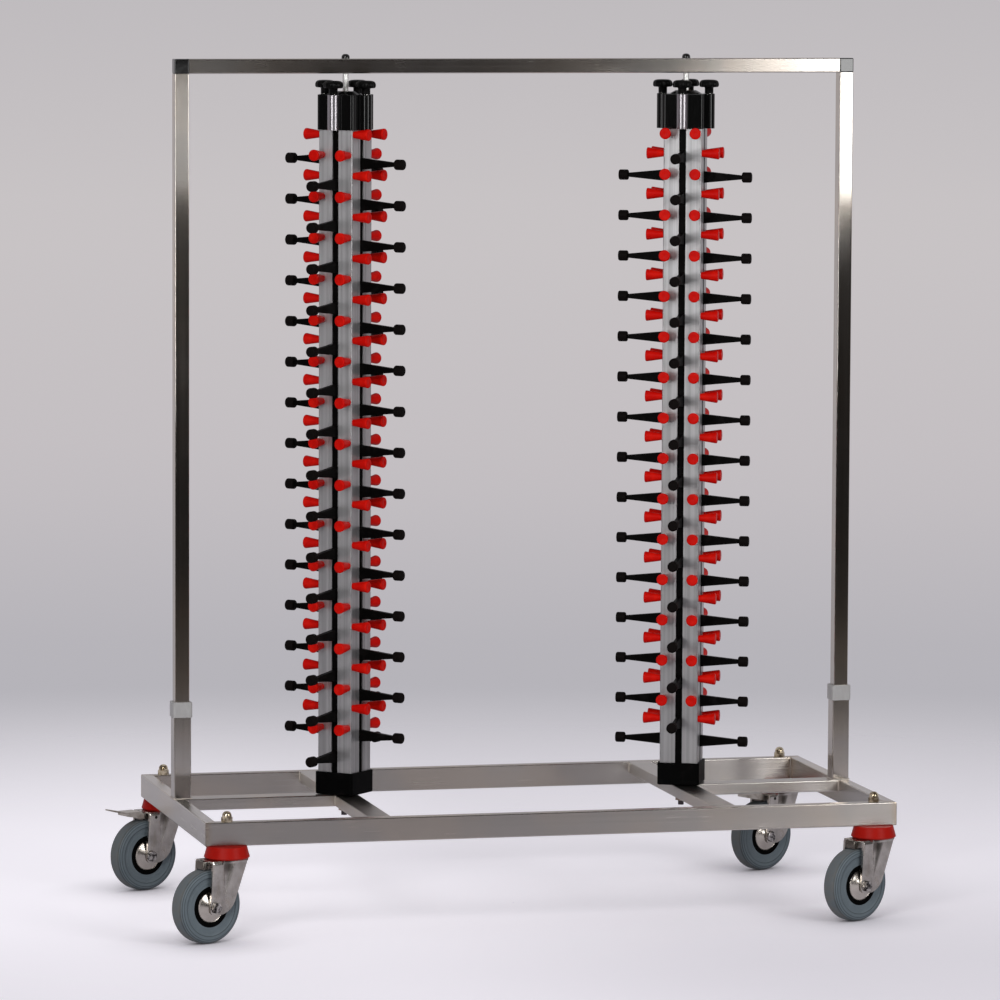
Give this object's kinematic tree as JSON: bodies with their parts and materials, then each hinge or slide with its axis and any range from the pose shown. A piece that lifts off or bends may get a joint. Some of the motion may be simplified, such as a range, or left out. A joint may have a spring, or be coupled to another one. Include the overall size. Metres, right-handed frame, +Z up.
{
  "type": "plate dispenser",
  "caption": "Mobile plate dispenser: wheeled stainless base and gantry with turning square columns that hold plates by the rim between red pegs and adjustable black arms.",
  "frame": {"origin": "on the floor under the middle of the base frame, midway between the two spindles", "axes": "+X along the front beam to the right, +Y to the back, +Z up along the spindles"},
  "size_m": [1.2729, 0.6774, 1.468],
  "materials": {
    "stainless": "brushed",
    "polished_steel": "polished",
    "column_aluminium": "satin",
    "clear_plastic": "milky",
    "black_plastic": "satin",
    "gloss_black": "gloss",
    "red_rubber": "satin",
    "red_plastic": "satin",
    "grey_tyre": "matte",
    "bronze": "satin"
  },
  "bodies": {
    "frame": {"front_beam": "stainless", "rear_beam": "stainless", "left_side_beam": "stainless", "right_side_beam": "stainless", "cross_beams": "stainless", "mid_beams": "stainless", "post_sockets": "stainless", "socket_collars": "clear_plastic", "posts": "stainless", "top_bar": "stainless", "corner_connectors": "black_plastic", "spindles": "polished_steel", "spindle_fasteners": "polished_steel", "caster_fasteners": "polished_steel", "swivel_rings": "red_plastic"},
    "left_column": {"left_column_profile": "column_aluminium", "left_column_foot": "black_plastic", "left_column_head": "gloss_black", "left_column_bushes": "bronze", "left_pegs": "red_rubber"},
    "left_knob_1": {"left_knob_1": "gloss_black"},
    "left_arm_rail_1": {"left_arm_rail_1": "black_plastic"},
    "left_knob_2": {"left_knob_2": "gloss_black"},
    "left_arm_rail_2": {"left_arm_rail_2": "black_plastic"},
    "left_knob_3": {"left_knob_3": "gloss_black"},
    "left_arm_rail_3": {"left_arm_rail_3": "black_plastic"},
    "left_knob_4": {"left_knob_4": "gloss_black"},
    "left_arm_rail_4": {"left_arm_rail_4": "black_plastic"},
    "right_column": {"right_column_profile": "column_aluminium", "right_column_foot": "black_plastic", "right_column_head": "gloss_black", "right_column_bushes": "bronze", "right_pegs": "red_rubber"},
    "right_knob_1": {"right_knob_1": "gloss_black"},
    "right_arm_rail_1": {"right_arm_rail_1": "black_plastic"},
    "right_knob_2": {"right_knob_2": "gloss_black"},
    "right_arm_rail_2": {"right_arm_rail_2": "black_plastic"},
    "right_knob_3": {"right_knob_3": "gloss_black"},
    "right_arm_rail_3": {"right_arm_rail_3": "black_plastic"},
    "right_knob_4": {"right_knob_4": "gloss_black"},
    "right_arm_rail_4": {"right_arm_rail_4": "black_plastic"},
    "front_left_fork": {"front_left_fork": "stainless", "front_left_axle": "polished_steel"},
    "front_left_wheel": {"front_left_tyre": "grey_tyre", "front_left_wheel_hub": "black_plastic"},
    "front_right_fork": {"front_right_fork": "stainless", "front_right_axle": "polished_steel"},
    "front_right_wheel": {"front_right_tyre": "grey_tyre", "front_right_wheel_hub": "black_plastic"},
    "rear_left_fork": {"rear_left_fork": "stainless", "rear_left_axle": "polished_steel"},
    "rear_left_wheel": {"rear_left_tyre": "grey_tyre", "rear_left_wheel_hub": "black_plastic"},
    "rear_left_brake_pedal": {"rear_left_brake_pedal": "stainless"},
    "rear_right_fork": {"rear_right_fork": "stainless", "rear_right_axle": "polished_steel"},
    "rear_right_wheel": {"rear_right_tyre": "grey_tyre", "rear_right_wheel_hub": "black_plastic"},
    "rear_right_brake_pedal": {"rear_right_brake_pedal": "stainless"}
  },
  "joints": [
    {"name": "left_column_turn", "type": "hinge", "parent": "frame", "child": "left_column", "pos_m": [-0.3, 0, 0], "axis": [0, 0, 1], "continuous": true},
    {"name": "left_knob_1_turn", "type": "hinge", "parent": "left_column", "child": "left_knob_1", "pos_m": [-0.27045, -0.02755, 1.4], "axis": [0, 0, 1], "range_deg": [-1980, 1080]},
    {"name": "left_arm_rail_1_slide", "type": "slide", "parent": "left_column", "child": "left_arm_rail_1", "axis": [0, 0, 1], "range_m": [-0.01, 0.02]},
    {"name": "left_knob_2_turn", "type": "hinge", "parent": "left_column", "child": "left_knob_2", "pos_m": [-0.27245, 0.02955, 1.4], "axis": [0, 0, 1], "range_deg": [-360, 2700]},
    {"name": "left_arm_rail_2_slide", "type": "slide", "parent": "left_column", "child": "left_arm_rail_2", "axis": [0, 0, 1], "range_m": [-0.028, 0.002]},
    {"name": "left_knob_3_turn", "type": "hinge", "parent": "left_column", "child": "left_knob_3", "pos_m": [-0.32955, 0.02755, 1.4], "axis": [0, 0, 1], "range_deg": [-1350, 1710]},
    {"name": "left_arm_rail_3_slide", "type": "slide", "parent": "left_column", "child": "left_arm_rail_3", "axis": [0, 0, 1], "range_m": [-0.017, 0.013]},
    {"name": "left_knob_4_turn", "type": "hinge", "parent": "left_column", "child": "left_knob_4", "pos_m": [-0.32755, -0.02955, 1.4], "axis": [0, 0, 1], "range_deg": [-2025, 1035]},
    {"name": "left_arm_rail_4_slide", "type": "slide", "parent": "left_column", "child": "left_arm_rail_4", "axis": [0, 0, 1], "range_m": [-0.0095, 0.0205]},
    {"name": "right_column_turn", "type": "hinge", "parent": "frame", "child": "right_column", "pos_m": [0.3, 0, 0], "axis": [0, 0, 1], "continuous": true},
    {"name": "right_knob_1_turn", "type": "hinge", "parent": "right_column", "child": "right_knob_1", "pos_m": [0.28357, -0.03691, 1.4], "axis": [0, 0, 1], "range_deg": [-1242, 1818]},
    {"name": "right_arm_rail_1_slide", "type": "slide", "parent": "right_column", "child": "right_arm_rail_1", "axis": [0, 0, 1], "range_m": [-0.0182, 0.0118]},
    {"name": "right_knob_2_turn", "type": "hinge", "parent": "right_column", "child": "right_knob_2", "pos_m": [0.33691, -0.01643, 1.4], "axis": [0, 0, 1], "range_deg": [-1206, 1854]},
    {"name": "right_arm_rail_2_slide", "type": "slide", "parent": "right_column", "child": "right_arm_rail_2", "axis": [0, 0, 1], "range_m": [-0.0186, 0.0114]},
    {"name": "right_knob_3_turn", "type": "hinge", "parent": "right_column", "child": "right_knob_3", "pos_m": [0.31643, 0.03691, 1.4], "axis": [0, 0, 1], "range_deg": [-1242, 1818]},
    {"name": "right_arm_rail_3_slide", "type": "slide", "parent": "right_column", "child": "right_arm_rail_3", "axis": [0, 0, 1], "range_m": [-0.0182, 0.0118]},
    {"name": "right_knob_4_turn", "type": "hinge", "parent": "right_column", "child": "right_knob_4", "pos_m": [0.26309, 0.01643, 1.4], "axis": [0, 0, 1], "range_deg": [-981, 2079]},
    {"name": "right_arm_rail_4_slide", "type": "slide", "parent": "right_column", "child": "right_arm_rail_4", "axis": [0, 0, 1], "range_m": [-0.0211, 0.0089]},
    {"name": "front_left_swivel", "type": "hinge", "parent": "frame", "child": "front_left_fork", "pos_m": [-0.562, -0.29, 0.15], "axis": [0, 0, 1], "continuous": true},
    {"name": "front_left_wheel_spin", "type": "hinge", "parent": "front_left_fork", "child": "front_left_wheel", "pos_m": [-0.60097, -0.30817, 0.0625], "axis": [0.4226, -0.9063, 0], "continuous": true},
    {"name": "front_right_swivel", "type": "hinge", "parent": "frame", "child": "front_right_fork", "pos_m": [0.562, -0.29, 0.15], "axis": [0, 0, 1], "continuous": true},
    {"name": "front_right_wheel_spin", "type": "hinge", "parent": "front_right_fork", "child": "front_right_wheel", "pos_m": [0.52369, -0.30952, 0.0625], "axis": [0.454, -0.891, 0], "continuous": true},
    {"name": "rear_left_swivel", "type": "hinge", "parent": "frame", "child": "rear_left_fork", "pos_m": [-0.562, 0.29, 0.15], "axis": [0, 0, 1], "continuous": true},
    {"name": "rear_left_wheel_spin", "type": "hinge", "parent": "rear_left_fork", "child": "rear_left_wheel", "pos_m": [-0.60128, 0.27251, 0.0625], "axis": [0.4067, -0.9135, 0], "continuous": true},
    {"name": "rear_left_brake_press", "type": "hinge", "parent": "rear_left_fork", "child": "rear_left_brake_pedal", "pos_m": [-0.59215, 0.27658, 0.13], "axis": [0.4067, -0.9135, 0], "range_deg": [0, 8]},
    {"name": "rear_right_swivel", "type": "hinge", "parent": "frame", "child": "rear_right_fork", "pos_m": [0.562, 0.29, 0.15], "axis": [0, 0, 1], "continuous": true},
    {"name": "rear_right_wheel_spin", "type": "hinge", "parent": "rear_right_fork", "child": "rear_right_wheel", "pos_m": [0.52335, 0.27115, 0.0625], "axis": [0.4384, -0.8988, 0], "continuous": true},
    {"name": "rear_right_brake_press", "type": "hinge", "parent": "rear_right_fork", "child": "rear_right_brake_pedal", "pos_m": [0.53234, 0.27553, 0.13], "axis": [0.4384, -0.8988, 0], "range_deg": [0, 8]}
  ],
  "couplings": [
    {"joint": "left_knob_1_turn", "follows": "left_arm_rail_1_slide", "rad_per_m": -1570.8},
    {"joint": "left_knob_2_turn", "follows": "left_arm_rail_2_slide", "rad_per_m": -1570.8},
    {"joint": "left_knob_3_turn", "follows": "left_arm_rail_3_slide", "rad_per_m": -1570.8},
    {"joint": "left_knob_4_turn", "follows": "left_arm_rail_4_slide", "rad_per_m": -1570.8},
    {"joint": "right_knob_1_turn", "follows": "right_arm_rail_1_slide", "rad_per_m": -1570.8},
    {"joint": "right_knob_2_turn", "follows": "right_arm_rail_2_slide", "rad_per_m": -1570.8},
    {"joint": "right_knob_3_turn", "follows": "right_arm_rail_3_slide", "rad_per_m": -1570.8},
    {"joint": "right_knob_4_turn", "follows": "right_arm_rail_4_slide", "rad_per_m": -1570.8}
  ]
}
